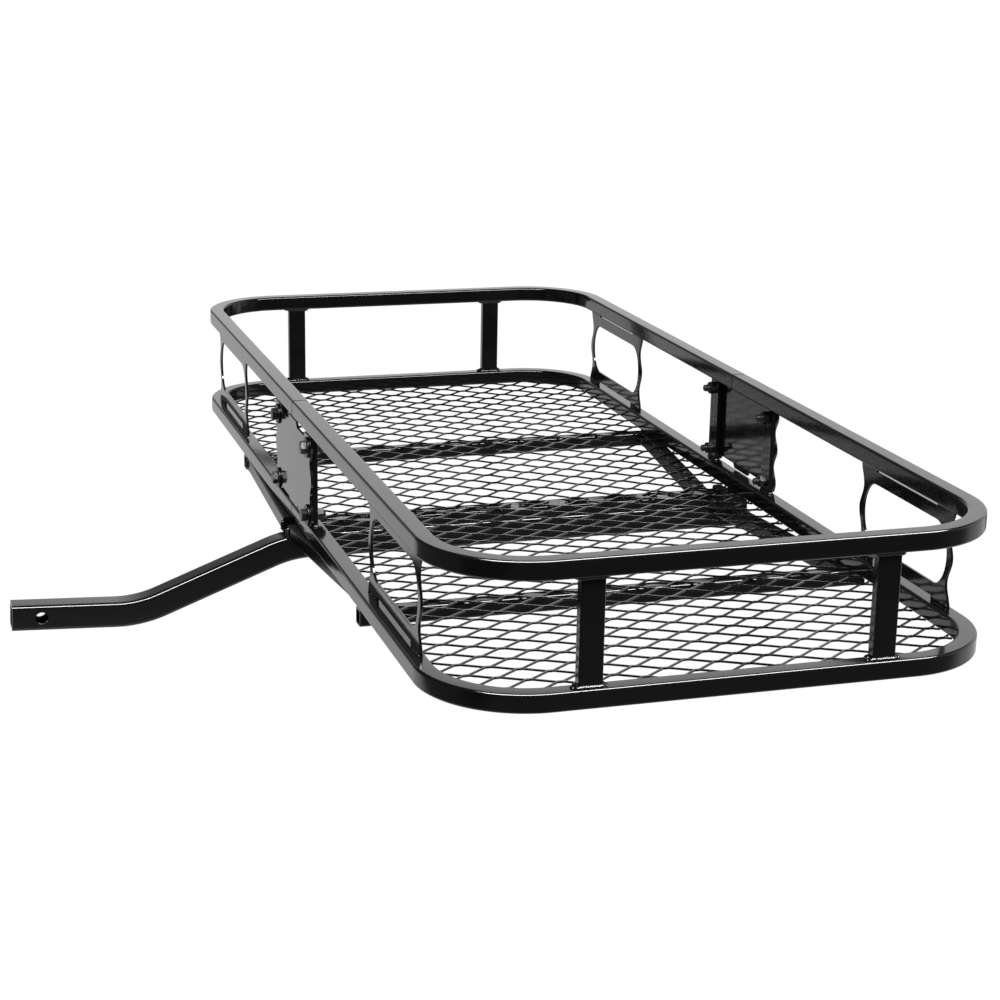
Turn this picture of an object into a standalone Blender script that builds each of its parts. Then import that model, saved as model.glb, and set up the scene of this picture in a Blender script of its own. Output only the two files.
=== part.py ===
"""Hitch cargo carrier: a steel basket in two halves on a bent square bar.

The frame's origin is the centre of the hitch pin hole. +Y runs rearwards, away from the vehicle, +X to the
vehicle's left and +Z up. The basket is level, and the straight end of the bar that goes into the receiver
points up a little, so that the loaded basket sits level. Units are metres.
"""

import math

import bmesh
import bpy
from mathutils import Matrix, Vector

# ---- Driving dimensions ----
LENGTH = 1.390  # basket, across the vehicle
WIDTH = 0.610  # basket, along the vehicle
SIDE_HEIGHT = 0.1536  # underside of the lower rail to the top of the upper rail
RAIL = 0.0203  # square tube of the rails
RAIL_WALL = 0.0016
RAIL_EDGE = 0.0028  # radius along the tube's edges
CORNER_RADIUS = 0.111  # outside of the basket's corners, in plan
SEAM_GAP = 0.0008
SEAM = {  # where the two halves' rails meet: a little off the middle, as they are bolted up
    "upper": {"front": 0.0036, "rear": -0.0135},
    "lower": {"front": -0.0050, "rear": -0.0135},
}

BAR = 0.03175  # square hitch bar, for a 1-1/4 inch receiver
BAR_WALL = 0.0032
BAR_EDGE = 0.0045
BAR_BEND_RADIUS = 0.140
BAR_RAKE = math.radians(2.6)  # the receiver end points up by this much
BAR_RISE_ANGLE = math.radians(21.0)
PIN_TO_END = 0.0352
PIN_TO_BEND = 0.1185
RISE_LENGTH = 0.2020  # along the sloping run, from corner to corner
PIN_HOLE = 0.0151

BAR_TO_RAIL = 0.0141  # top of the level bar to the underside of the lower rails
BAR_END_INSET = 0.0022  # the bar stops this far short of the basket's rear face

POST_WIDTH = 0.0254
POST_DEPTH = 0.0127
POST_WALL = 0.0016
END_POST_Y = 0.156
MIDDLE_POST_WIDTH = 0.0254
MIDDLE_POST_DEPTH = 0.0064
MIDDLE_POST_X = 0.0875

PLATE = 0.003  # sheet of the corner brackets and joining plates
PLATE_SETBACK = 0.0011  # joining plate's outer face behind the rail's outer face

BRACKET_X = {"left": 0.4595, "right": -0.476}
BRACKET_HALF = 0.1095  # at the feet
BRACKET_BULGE = 0.0005  # the bulge stops this far short of the feet
BRACKET_WAIST = 0.0085  # how far the waists cut in, past the line from foot to bulge
BRACKET_OPENING_HALF = 0.071  # of the opening's straight top and bottom
BRACKET_OPENING_BULGE = 0.0275  # how far its round ends stand out
BRACKET_BAR = 0.0205  # each end's strip, opening to rail
BRACKET_SLOT = 0.0052
BRACKET_INSET = {"front": 0.003, "rear": 0.0}  # inwards from the rails' centre line

JOINER_X = {"front": 0.0, "rear": -0.0075}  # middle of each joining plate
JOINER_POSTS_X = {"front": 0.0, "rear": -0.0030}  # middle of its posts and bolts
JOINER_HALF = 0.106
JOINER_WAIST = 0.0085
JOINER_GAP = 0.0020  # tabs and ears to the rails
JOINER_NOTCHES = {"front": (0.0032, 0.0065), "rear": (0.0055, 0.0032)}  # depths, low and high
JOINER_NOTCH_SLANT = 0.004  # the notches' ends lean by this much
JOINER_TAB_HALF = 0.021
JOINER_EAR = 0.036  # length of each corner ear along the rail
JOINER_EAR_INSET = 0.0105  # the ear is widest this far in from its end

BOLT_LEVELS = {
    "front": {"low": 0.0325, "high": 0.1160},
    "rear": {"low": 0.0351, "high": 0.1186},
}
BOLT = 0.0095
BOLT_ACROSS_FLATS = 0.0143
BOLT_HEAD = 0.0062  # front bolts, hexagonal, on washers
ROUND_HEAD = 0.0025  # rear bolts, low and round, on the bare plate
ROUND_HEAD_OUTER = 0.019
BOLT_TAIL = {"front": 0.003, "rear": 0.007}  # thread past the nut
NUT = 0.0082
WASHER_OUTER = 0.0254
WASHER = 0.0021
FRAME_BOLT = 0.0079
FRAME_BOLT_HEAD = 0.0050
FRAME_BOLT_ACROSS_FLATS = 0.0127
FRAME_BOLT_LENGTH = 0.022
FRAME_BOLT_Y = 0.270

TUBE = 0.01905  # 3/4 inch square tube of the cross tubes and braces
CROSS_TUBE_X = {"left": 0.347, "right": -0.3275}
CROSS_TUBE_INSET = 0.001  # each end behind the basket's outer face
FRONT_BRACE_Y = {"left": (-0.2735, -0.3045), "right": (-0.293, -0.3045)}  # at the cross tube, at the hitch bar
REAR_BRACE_Y = (0.290, 0.250)
FLOOR_BAR_WIDTH = 0.0154
FLOOR_BAR_INSET = 0.0025  # each end behind the basket's outer face
FLOOR = 0.0024  # thickness of the expanded metal's solid
FLOOR_STRAND = 0.005
FLOOR_PITCH_X = 0.064  # the solid has every second diamond of the real floor
FLOOR_PITCH_Y = 0.109
FLOOR_BOLT_CUTOUT = 0.0165  # round cut-out round each frame bolt's head
FLOOR_CORNER_CLEARANCE = 0.0060  # the floor's facets stay inside the rail's round corner

GAP = 0.0003  # between pieces that touch
HOLE_CLEARANCE = 0.0005  # radial, around bolts

# ---- Worked out from them ----
NOSE = Vector((0, -math.cos(BAR_RAKE), math.sin(BAR_RAKE)))
BAR_END = NOSE * PIN_TO_END
BAR_LOW_CORNER = NOSE * -PIN_TO_BEND
BAR_HIGH_CORNER = BAR_LOW_CORNER + RISE_LENGTH * Vector(
    (0, math.cos(BAR_RISE_ANGLE), math.sin(BAR_RISE_ANGLE))
)
BASKET_CENTRE = Vector((0, 0.6169, BAR_HIGH_CORNER.z + BAR / 2 + BAR_TO_RAIL))
BAR_TAIL = Vector((0, BASKET_CENTRE.y + WIDTH / 2 - BAR_END_INSET, BAR_HIGH_CORNER.z))
RAIL_LINE_X = (LENGTH - RAIL) / 2  # the rails' centre lines
RAIL_LINE_Y = (WIDTH - RAIL) / 2
BEND_LINE_RADIUS = CORNER_RADIUS - RAIL / 2
LOW_EDGE = RAIL + GAP  # the clear height between the rails
HIGH_EDGE = SIDE_HEIGHT - RAIL - GAP
JOINER_FACE = WIDTH / 2 - PLATE_SETBACK
MIDDLE_POST_FACE = JOINER_FACE - PLATE - GAP
TUBE_TOP = -GAP  # cross tubes, braces and floor bars lie against the rails' undersides
FLOOR_EDGE_INSET = RAIL + GAP  # the floor lies on the tubes, inside the lower rails
FLOOR_BAR_HEIGHT = BAR_TO_RAIL - 2 * GAP
SIDES = {"left": 1, "right": -1}
FLANKS = {"front": -1, "rear": 1}


# ---- Scene and materials ----
def clear_scene():
    for obj in list(bpy.data.objects):
        bpy.data.objects.remove(obj, do_unlink=True)


def make_material(name, colour, roughness, metallic):
    material = bpy.data.materials.new(name)
    material.use_nodes = True
    shader = material.node_tree.nodes["Principled BSDF"]
    shader.inputs["Base Color"].default_value = (*colour, 1)
    shader.inputs["Roughness"].default_value = roughness
    shader.inputs["Metallic"].default_value = metallic
    return material


def make_object(name, bm, material, parent=None):
    """Turns a closed bmesh into a named object, with its faces pointing out."""
    bmesh.ops.recalc_face_normals(bm, faces=bm.faces)
    mesh = bpy.data.meshes.new(name)
    bm.to_mesh(mesh)
    bm.free()
    mesh.materials.append(material)
    obj = bpy.data.objects.new(name, mesh)
    bpy.context.scene.collection.objects.link(obj)
    obj.parent = parent
    return obj


def make_empty(name, location):
    empty = bpy.data.objects.new(name, None)
    empty.location = location
    bpy.context.scene.collection.objects.link(empty)
    return empty


# ---- Shapes ----
def rounded_rectangle(width, height, radius, steps):
    """Outline points, anticlockwise. Every corner has steps + 1 points."""
    points = []
    for quarter, (sign_u, sign_v) in enumerate(((1, 1), (-1, 1), (-1, -1), (1, -1))):
        centre = Vector((sign_u * (width / 2 - radius), sign_v * (height / 2 - radius)))
        for step in range(steps + 1):
            angle = math.pi / 2 * (quarter + step / steps)
            points.append(centre + radius * Vector((math.cos(angle), math.sin(angle))))
    return points


def bent_route(corners, radius, steps):
    """Stations (point, direction) along straight runs with an arc at each inner corner."""
    start_direction = (corners[1] - corners[0]).normalized()
    stations = [(corners[0], start_direction)]
    for before, corner, after in zip(corners, corners[1:], corners[2:]):
        arriving = (corner - before).normalized()
        leaving = (after - corner).normalized()
        turn = arriving.angle(leaving)
        tangent_length = radius * math.tan(turn / 2)
        axis = arriving.cross(leaving).normalized()
        inward = axis.cross(arriving)
        centre = corner - arriving * tangent_length + inward * radius
        for step in range(steps + 1):
            rotation = Matrix.Rotation(turn * step / steps, 3, axis)
            stations.append((centre - rotation @ (inward * radius), rotation @ arriving))
    stations.append((corners[-1], (corners[-1] - corners[-2]).normalized()))
    return stations


def sweep_tube(stations, plane_normal, outer, inner):
    """Open-ended tube. The outer and inner outlines have the same number of points."""
    bm = bmesh.new()
    rings = []
    for point, direction in stations:
        side = direction.cross(plane_normal).normalized()
        rings.append(
            [
                [bm.verts.new(point + side * u + plane_normal * v) for u, v in outline]
                for outline in (outer, inner)
            ]
        )
    count = len(outer)
    for before, after in zip(rings, rings[1:]):
        for wall in (0, 1):
            for index in range(count):
                following = (index + 1) % count
                bm.faces.new(
                    (
                        before[wall][index],
                        before[wall][following],
                        after[wall][following],
                        after[wall][index],
                    )
                )
    for outer_ring, inner_ring in (rings[0], rings[-1]):
        for index in range(count):
            following = (index + 1) % count
            bm.faces.new(
                (
                    outer_ring[index],
                    outer_ring[following],
                    inner_ring[following],
                    inner_ring[index],
                )
            )
    return bm


def square_tube(corners, plane_normal, size, wall, edge, bend_radius=0.0, bend_steps=1):
    outer = rounded_rectangle(size, size, edge, 1)
    inner = rounded_rectangle(size - 2 * wall, size - 2 * wall, edge - wall, 1)
    return sweep_tube(bent_route(corners, bend_radius, bend_steps), plane_normal, outer, inner)


def box(low, high):
    bm = bmesh.new()
    bmesh.ops.create_cube(bm, size=1)
    size = Vector(high) - Vector(low)
    bmesh.ops.scale(bm, vec=size, verts=bm.verts)
    bmesh.ops.translate(bm, vec=(Vector(high) + Vector(low)) / 2, verts=bm.verts)
    return bm


def sheet(outline, hole, thickness):
    """Flat sheet standing in the XZ plane, centred on Y = 0, with an optional hole."""
    bm = bmesh.new()
    edges = []
    for loop in (outline, hole):
        verts = [bm.verts.new((x, -thickness / 2, z)) for x, z in loop]
        edges += [bm.edges.new(pair) for pair in zip(verts, verts[1:] + verts[:1])]
    bmesh.ops.triangle_fill(bm, edges=edges, use_beauty=True, use_dissolve=False)
    top = bmesh.ops.extrude_face_region(bm, geom=bm.faces[:], use_keep_orig=True)
    moved = [item for item in top["geom"] if isinstance(item, bmesh.types.BMVert)]
    bmesh.ops.translate(bm, vec=(0, thickness, 0), verts=moved)
    return bm


def barrel_edge(half, waist, bulge_setback, low, high, ear_inset, steps):
    """Points up the +X edge of a bracket: ear, waist, round bulge, waist, ear."""
    points = []
    for step in range(steps + 1):
        height = low + (high - low) * step / steps
        turn = math.tau * (height - low - ear_inset) / (high - low - 2 * ear_inset)
        cut = waist * (1 - math.cos(2 * turn)) / 2 + bulge_setback * (1 - math.cos(turn)) / 2
        points.append((half - cut, height))
    return points


def mirrored(points):
    """Adds the same points on the -X side, so that the outline closes."""
    return points + [(-x, z) for x, z in reversed(points)]


def ring(outer_points, inner_radius, thickness):
    """A disc or prism with a round hole, along +Y from Y = 0. Both loops have the same count."""
    bm = bmesh.new()
    count = len(outer_points)
    loops = []
    for y in (0, thickness):
        loops.append([bm.verts.new((x, y, z)) for x, z in outer_points])
        loops.append(
            [
                bm.verts.new((Vector((x, 0, z)).normalized() * inner_radius) + Vector((0, y, 0)))
                for x, z in outer_points
            ]
        )
    near_outer, near_inner, far_outer, far_inner = loops
    pairs = (
        (near_outer, near_inner),
        (far_outer, far_inner),
        (near_outer, far_outer),
        (near_inner, far_inner),
    )
    for first, second in pairs:
        for index in range(count):
            following = (index + 1) % count
            bm.faces.new((first[index], first[following], second[following], second[index]))
    return bm


def circle_points(radius, count):
    return [
        (radius * math.cos(math.tau * i / count), radius * math.sin(math.tau * i / count))
        for i in range(count)
    ]


def hexagon_points(across_flats):
    """Twelve points: the hexagon's corners and the middles of its flats."""
    points = []
    for index in range(12):
        reach = across_flats / 2 / (math.cos(math.pi / 6) if index % 2 == 0 else 1)
        angle = math.pi / 6 * index
        points.append((reach * math.cos(angle), reach * math.sin(angle)))
    return points


def bolt(head_points, head, diameter, length):
    """Head from Y = -head to 0, and its shank along +Y. The head's outline has twelve points."""
    bm = bmesh.new()
    loops = (
        (head_points, -head),
        (head_points, 0),
        (circle_points(diameter / 2, 12), 0),
        (circle_points(diameter / 2, 12), length),
    )
    rings = [[bm.verts.new((x, y, z)) for x, z in points] for points, y in loops]
    for first, second in zip(rings, rings[1:]):
        for index in range(12):
            following = (index + 1) % 12
            bm.faces.new((first[index], first[following], second[following], second[index]))
    bm.faces.new(rings[0])
    bm.faces.new(rings[-1])
    return bm


def cut_round_hole(target, centre, axis, diameter, length, name):
    """Adds a hidden round cutter and a Boolean that uses it. The centre is in the target's parent's frame."""
    bm = bmesh.new()
    bmesh.ops.create_cone(
        bm, cap_ends=True, segments=16, radius1=diameter / 2, radius2=diameter / 2, depth=length
    )
    cutter = make_object(name, bm, target.data.materials[0], target.parent)
    cutter.location = centre
    cutter.rotation_mode = "QUATERNION"
    cutter.rotation_quaternion = Vector((0, 0, 1)).rotation_difference(axis)
    cutter.hide_render = True
    cutter.display_type = "WIRE"
    boolean = target.modifiers.new(name, "BOOLEAN")
    boolean.operation = "DIFFERENCE"
    boolean.object = cutter


# ---- The basket's two halves ----
def build_rails(side, basket, paint):
    """Upper and lower rail: one square tube round three sides of the half."""
    sign = SIDES[side]
    for level, height in (("lower", RAIL / 2), ("upper", SIDE_HEIGHT - RAIL / 2)):
        start_x, end_x = (SEAM[level][flank] + sign * SEAM_GAP / 2 for flank in FLANKS)
        corners = [
            Vector((start_x, -RAIL_LINE_Y, height)),
            Vector((sign * RAIL_LINE_X, -RAIL_LINE_Y, height)),
            Vector((sign * RAIL_LINE_X, RAIL_LINE_Y, height)),
            Vector((end_x, RAIL_LINE_Y, height)),
        ]
        bm = square_tube(
            corners, Vector((0, 0, 1)), RAIL, RAIL_WALL, RAIL_EDGE, BEND_LINE_RADIUS, 8
        )
        make_object(f"{side}_{level}_rail", bm, paint, basket)


def build_end_posts(side, basket, paint):
    """Two upright rectangular tubes between the rails at the half's outer end."""
    outer = rounded_rectangle(POST_DEPTH, POST_WIDTH, 0.002, 1)
    inner = rounded_rectangle(POST_DEPTH - 2 * POST_WALL, POST_WIDTH - 2 * POST_WALL, 0.0006, 1)
    for flank, flank_sign in FLANKS.items():
        foot = Vector((SIDES[side] * RAIL_LINE_X, flank_sign * END_POST_Y, LOW_EDGE))
        head = Vector((foot.x, foot.y, HIGH_EDGE))
        up = Vector((0, 0, 1))
        bm = sweep_tube([(foot, up), (head, up)], Vector((0, 1, 0)), outer, inner)
        make_object(f"{side}_{flank}_end_post", bm, paint, basket)


def build_corner_brackets(side, basket, paint):
    """Pressed sheet between the rails, with a barrel-shaped opening and a slot along each rail."""
    slot_low = LOW_EDGE + BRACKET_SLOT
    slot_high = HIGH_EDGE - BRACKET_SLOT
    right_edge = [(BRACKET_OPENING_HALF, slot_low), (BRACKET_OPENING_HALF, LOW_EDGE)]
    right_edge += barrel_edge(
        BRACKET_HALF, BRACKET_WAIST, BRACKET_BULGE, LOW_EDGE, HIGH_EDGE, 0, 16
    )
    right_edge += [(BRACKET_OPENING_HALF, HIGH_EDGE), (BRACKET_OPENING_HALF, slot_high)]
    hole_low = LOW_EDGE + BRACKET_BAR
    hole_height = HIGH_EDGE - LOW_EDGE - 2 * BRACKET_BAR
    round_end = [
        (
            BRACKET_OPENING_HALF + BRACKET_OPENING_BULGE * math.sin(math.pi * step / 8),
            hole_low + hole_height * (1 - math.cos(math.pi * step / 8)) / 2,
        )
        for step in range(9)
    ]
    for flank, flank_sign in FLANKS.items():
        bm = sheet(mirrored(right_edge), mirrored(round_end), PLATE)
        bracket = make_object(f"{side}_{flank}_corner_bracket", bm, paint, basket)
        bracket.location = (BRACKET_X[side], flank_sign * (RAIL_LINE_Y - BRACKET_INSET[flank]), 0)


def build_middle_posts(side, basket, paint):
    """Flat bars between the rails beside the seam. The joining plates bolt to them."""
    for flank, flank_sign in FLANKS.items():
        centre_x = JOINER_POSTS_X[flank] + SIDES[side] * MIDDLE_POST_X
        centre_y = flank_sign * (MIDDLE_POST_FACE - MIDDLE_POST_DEPTH / 2)
        half = Vector((MIDDLE_POST_WIDTH / 2, MIDDLE_POST_DEPTH / 2, 0))
        low = Vector((centre_x, centre_y, LOW_EDGE)) - half
        high = Vector((centre_x, centre_y, HIGH_EDGE)) + half
        post = make_object(f"{side}_{flank}_middle_post", box(low, high), paint, basket)
        for level, height in BOLT_LEVELS[flank].items():
            cut_round_hole(
                post,
                Vector((centre_x, centre_y, height)),
                Vector((0, 1, 0)),
                BOLT + 2 * HOLE_CLEARANCE,
                2 * MIDDLE_POST_DEPTH,
                f"{post.name}_{level}_cutter",
            )


def build_floor(side, basket, paint):
    """Lattice of diamonds inside the lower rail, lying on the cross tube and the floor bar."""
    sign = SIDES[side]
    bm = bmesh.new()
    columns = round(LENGTH / 2 / FLOOR_PITCH_X) + 2
    rows = round(WIDTH / FLOOR_PITCH_Y) + 3
    corner = {}

    def vert(u, v):
        if (u, v) not in corner:
            x = sign * (u * FLOOR_PITCH_X / 2)
            corner[u, v] = bm.verts.new((x, (v - rows) * FLOOR_PITCH_Y / 2, 0))
        return corner[u, v]

    for u in range(-1, 2 * columns):
        for v in range(2 * rows):
            if (u + v) % 2 == 0:
                bm.faces.new((vert(u, v + 1), vert(u + 1, v), vert(u + 2, v + 1), vert(u + 1, v + 2)))
    reach_x = LENGTH / 2 - FLOOR_EDGE_INSET
    reach_y = WIDTH / 2 - FLOOR_EDGE_INSET
    radius = CORNER_RADIUS - FLOOR_EDGE_INSET
    planes = [((sign * GAP, 0), (-sign, 0)), ((0, reach_y), (0, 1)), ((0, -reach_y), (0, -1))]
    for step in range(5):
        angle = math.pi / 2 * step / 4
        corner_reach = radius - (FLOOR_CORNER_CLEARANCE if 0 < step < 4 else 0)
        for flank_sign in (-1, 1):
            normal = (sign * math.cos(angle), flank_sign * math.sin(angle))
            centre = (sign * (reach_x - radius), flank_sign * (reach_y - radius))
            point = (centre[0] + corner_reach * normal[0], centre[1] + corner_reach * normal[1])
            planes.append((point, normal))
    for point, normal in planes:
        bmesh.ops.bisect_plane(
            bm,
            geom=bm.verts[:] + bm.edges[:] + bm.faces[:],
            plane_co=(*point, 0),
            plane_no=(*normal, 0),
            clear_outer=True,
        )
    open_cells = [face for face in bm.faces if face.calc_area() > 0.35 * FLOOR_PITCH_X * FLOOR_PITCH_Y / 2]
    bmesh.ops.inset_individual(bm, faces=open_cells, thickness=FLOOR_STRAND / 2)
    bmesh.ops.delete(bm, geom=open_cells, context="FACES")
    below = bmesh.ops.extrude_face_region(bm, geom=bm.faces[:], use_keep_orig=True)
    moved = [item for item in below["geom"] if isinstance(item, bmesh.types.BMVert)]
    bmesh.ops.translate(bm, vec=(0, 0, -FLOOR), verts=moved)
    floor = make_object(f"{side}_floor", bm, paint, basket)
    floor.location.z = FLOOR + GAP
    for flank, flank_sign in FLANKS.items():
        cut_round_hole(
            floor,
            Vector((frame_bolt_x(side), flank_sign * FRAME_BOLT_Y, 0)),
            Vector((0, 0, 1)),
            FLOOR_BOLT_CUTOUT,
            6 * FLOOR,
            f"{side}_floor_{flank}_cutter",
        )


def build_floor_bar(side, basket, paint):
    """Flat bar along the seam, on top of the hitch bar, under the floor's inner edge."""
    sign = SIDES[side]
    inner, outer = sign * GAP, sign * (GAP + FLOOR_BAR_WIDTH)
    low = (min(inner, outer), -WIDTH / 2 + FLOOR_BAR_INSET, TUBE_TOP - FLOOR_BAR_HEIGHT)
    high = (max(inner, outer), WIDTH / 2 - FLOOR_BAR_INSET, TUBE_TOP)
    bar = make_object(f"{side}_floor_bar", box(low, high), paint, basket)
    for flank, flank_sign in FLANKS.items():
        cut_round_hole(
            bar,
            Vector((frame_bolt_x(side), flank_sign * FRAME_BOLT_Y, TUBE_TOP)),
            Vector((0, 0, 1)),
            FRAME_BOLT + 2 * GAP,
            4 * FLOOR_BAR_HEIGHT,
            f"{side}_floor_bar_{flank}_cutter",
        )


def frame_bolt_x(side):
    return SIDES[side] * (GAP + FLOOR_BAR_WIDTH / 2)


# ---- What joins and carries them ----
def build_hitch_bar(paint):
    """Square tube: raked receiver end, rising run and level run under the whole basket."""
    corners = [BAR_END, BAR_LOW_CORNER, BAR_HIGH_CORNER, BAR_TAIL]
    bm = square_tube(corners, Vector((1, 0, 0)), BAR, BAR_WALL, BAR_EDGE, BAR_BEND_RADIUS, 6)
    bar = make_object("hitch_bar", bm, paint)
    cut_round_hole(bar, Vector(), Vector((1, 0, 0)), PIN_HOLE, 2 * BAR, "pin_hole_cutter")
    for side in SIDES:
        for flank, flank_sign in FLANKS.items():
            top = Vector((frame_bolt_x(side), flank_sign * FRAME_BOLT_Y, -BAR_TO_RAIL))
            cut_round_hole(
                bar,
                BASKET_CENTRE + top,
                Vector((0, 0, 1)),
                FRAME_BOLT + 2 * GAP,
                3 * BAR_WALL,
                f"bar_{side}_{flank}_cutter",
            )


def build_cross_tube(side, basket, paint):
    height = TUBE_TOP - TUBE / 2
    reach = WIDTH / 2 - CROSS_TUBE_INSET
    corners = [Vector((CROSS_TUBE_X[side], y, height)) for y in (-reach, reach)]
    bm = square_tube(corners, Vector((0, 0, 1)), TUBE, RAIL_WALL, RAIL_EDGE)
    make_object(f"{side}_cross_tube", bm, paint, basket)


def build_braces(side, basket, paint):
    """Tubes from the cross tube's ends to the hitch bar, with both ends cut parallel to the hitch bar."""
    sign = SIDES[side]
    height = TUBE_TOP - TUBE / 2
    tube_face = abs(CROSS_TUBE_X[side]) - TUBE / 2 - GAP
    bar_face = BAR / 2 + GAP
    outer = rounded_rectangle(TUBE, TUBE, RAIL_EDGE, 1)
    inner = rounded_rectangle(
        TUBE - 2 * RAIL_WALL, TUBE - 2 * RAIL_WALL, RAIL_EDGE - RAIL_WALL, 1
    )
    for flank, (tube_y, bar_y) in (("front", FRONT_BRACE_Y[side]), ("rear", REAR_BRACE_Y)):
        ends = [
            (Vector((sign * tube_face, tube_y, height)), Vector((-sign, 0, 0))),
            (Vector((sign * bar_face, bar_y, height)), Vector((-sign, 0, 0))),
        ]
        bm = sweep_tube(ends, Vector((0, 0, 1)), outer, inner)
        make_object(f"{side}_{flank}_brace", bm, paint, basket)


def joiner_outline(flank):
    """Joining plate: an ear at each corner, a tab in the middle of the lower and upper edges."""
    low = RAIL + JOINER_GAP
    high = SIDE_HEIGHT - RAIL - JOINER_GAP
    notch_low = low + JOINER_NOTCHES[flank][0]
    notch_high = high - JOINER_NOTCHES[flank][1]
    ear = JOINER_HALF - JOINER_EAR
    tab, root = JOINER_TAB_HALF, JOINER_TAB_HALF + JOINER_NOTCH_SLANT
    ear_root = ear - JOINER_NOTCH_SLANT
    right_edge = [(tab, low), (root, notch_low), (ear_root, notch_low), (ear, low)]
    right_edge += barrel_edge(JOINER_HALF, JOINER_WAIST, 0, low, high, JOINER_EAR_INSET, 20)
    right_edge += [(ear, high), (ear_root, notch_high), (root, notch_high), (tab, high)]
    return mirrored(right_edge)


def build_joining_plates(basket, paint):
    for flank, flank_sign in FLANKS.items():
        plate = make_object(f"{flank}_joining_plate", sheet(joiner_outline(flank), (), PLATE), paint, basket)
        plate.location = (JOINER_X[flank], flank_sign * (JOINER_FACE - PLATE / 2), 0)
        for side, sign in SIDES.items():
            for level, height in BOLT_LEVELS[flank].items():
                cut_round_hole(
                    plate,
                    Vector((JOINER_POSTS_X[flank] + sign * MIDDLE_POST_X, plate.location.y, height)),
                    Vector((0, 1, 0)),
                    BOLT + 2 * HOLE_CLEARANCE,
                    4 * PLATE,
                    f"{flank}_plate_{side}_{level}_cutter",
                )


def build_plate_bolts(basket, steel):
    """Bolt outside each joining plate's corner, on a washer at the front, and nut inside its post."""
    grip = PLATE + MIDDLE_POST_DEPTH + 3 * GAP
    heads = {
        "front": (hexagon_points(BOLT_ACROSS_FLATS), BOLT_HEAD),
        "rear": (circle_points(ROUND_HEAD_OUTER / 2, 12), ROUND_HEAD),
    }
    for flank, flank_sign in FLANKS.items():
        stack = WASHER + GAP if flank == "front" else 0
        length = stack + grip + NUT + BOLT_TAIL[flank]
        nut_depth = stack + grip
        for side, sign in SIDES.items():
            for level, height in BOLT_LEVELS[flank].items():
                label = f"{flank}_{side}_{level}"
                pieces = {
                    "bolt": (bolt(*heads[flank], BOLT, length), 0),
                    "nut": (
                        ring(hexagon_points(BOLT_ACROSS_FLATS), BOLT / 2 + GAP, NUT),
                        nut_depth,
                    ),
                }
                if flank == "front":
                    washer = ring(circle_points(WASHER_OUTER / 2, 16), BOLT / 2 + GAP, WASHER)
                    pieces["washer"] = (washer, GAP)
                for kind, (bm, depth) in pieces.items():
                    face = JOINER_FACE + GAP + stack - depth
                    obj = make_object(f"{kind}_{label}", bm, steel, basket)
                    obj.location = (
                        JOINER_POSTS_X[flank] + sign * MIDDLE_POST_X,
                        flank_sign * face,
                        height,
                    )
                    obj.rotation_euler.z = math.pi if flank_sign > 0 else 0


def build_frame_bolts(basket, steel):
    """Down through the floor bars into tapped holes in the hitch bar."""
    for side in SIDES:
        for flank, flank_sign in FLANKS.items():
            head_points = hexagon_points(FRAME_BOLT_ACROSS_FLATS)
            bm = bolt(head_points, FRAME_BOLT_HEAD, FRAME_BOLT, FRAME_BOLT_LENGTH)
            obj = make_object(f"frame_bolt_{side}_{flank}", bm, steel, basket)
            obj.location = (frame_bolt_x(side), flank_sign * FRAME_BOLT_Y, TUBE_TOP + GAP)
            obj.rotation_euler.x = -math.pi / 2


def main():
    clear_scene()
    paint = make_material("black_powder_coat", (0.012, 0.012, 0.013), 0.22, 0.0)
    steel = make_material("black_zinc", (0.05, 0.05, 0.052), 0.30, 1.0)
    basket = make_empty("basket", BASKET_CENTRE)
    build_hitch_bar(paint)
    for side in SIDES:
        build_rails(side, basket, paint)
        build_end_posts(side, basket, paint)
        build_corner_brackets(side, basket, paint)
        build_middle_posts(side, basket, paint)
        build_floor(side, basket, paint)
        build_floor_bar(side, basket, paint)
        build_cross_tube(side, basket, paint)
        build_braces(side, basket, paint)
    build_joining_plates(basket, paint)
    build_plate_bolts(basket, steel)
    build_frame_bolts(basket, steel)


main()
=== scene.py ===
"""Looks of the hitch cargo carrier: finer pieces, materials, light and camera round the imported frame.

Units are metres. The frame's origin is the centre of the hitch pin hole, +Y runs rearwards, +X to the
vehicle's left and +Z up. Sizes repeat those of the CAD.
"""

import math
import random

import bmesh
import bpy
from mathutils import Matrix, Vector


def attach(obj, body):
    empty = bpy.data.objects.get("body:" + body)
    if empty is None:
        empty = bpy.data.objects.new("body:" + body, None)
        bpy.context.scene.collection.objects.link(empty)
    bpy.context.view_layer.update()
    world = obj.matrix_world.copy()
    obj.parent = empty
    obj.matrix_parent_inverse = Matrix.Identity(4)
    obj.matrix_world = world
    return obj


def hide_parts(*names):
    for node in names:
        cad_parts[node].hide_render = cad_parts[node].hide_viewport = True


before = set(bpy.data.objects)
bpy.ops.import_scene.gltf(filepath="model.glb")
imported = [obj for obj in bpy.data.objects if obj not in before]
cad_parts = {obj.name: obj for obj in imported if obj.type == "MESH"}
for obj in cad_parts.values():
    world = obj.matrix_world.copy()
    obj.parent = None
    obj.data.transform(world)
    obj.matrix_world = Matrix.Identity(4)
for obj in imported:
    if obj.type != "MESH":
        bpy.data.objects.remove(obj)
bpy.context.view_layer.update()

# ---- Sizes, as in the CAD ----
LENGTH = 1.390
WIDTH = 0.610
SIDE_HEIGHT = 0.1536
RAIL = 0.0203
RAIL_WALL = 0.0016
RAIL_EDGE = 0.0028
CORNER_RADIUS = 0.111
SEAM = {
    "upper": {"front": 0.0036, "rear": -0.0135},
    "lower": {"front": -0.0050, "rear": -0.0135},
}
BAR = 0.03175
BAR_WALL = 0.0032
BAR_EDGE = 0.0045
BAR_BEND_RADIUS = 0.140
BAR_RAKE = math.radians(2.6)
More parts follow.
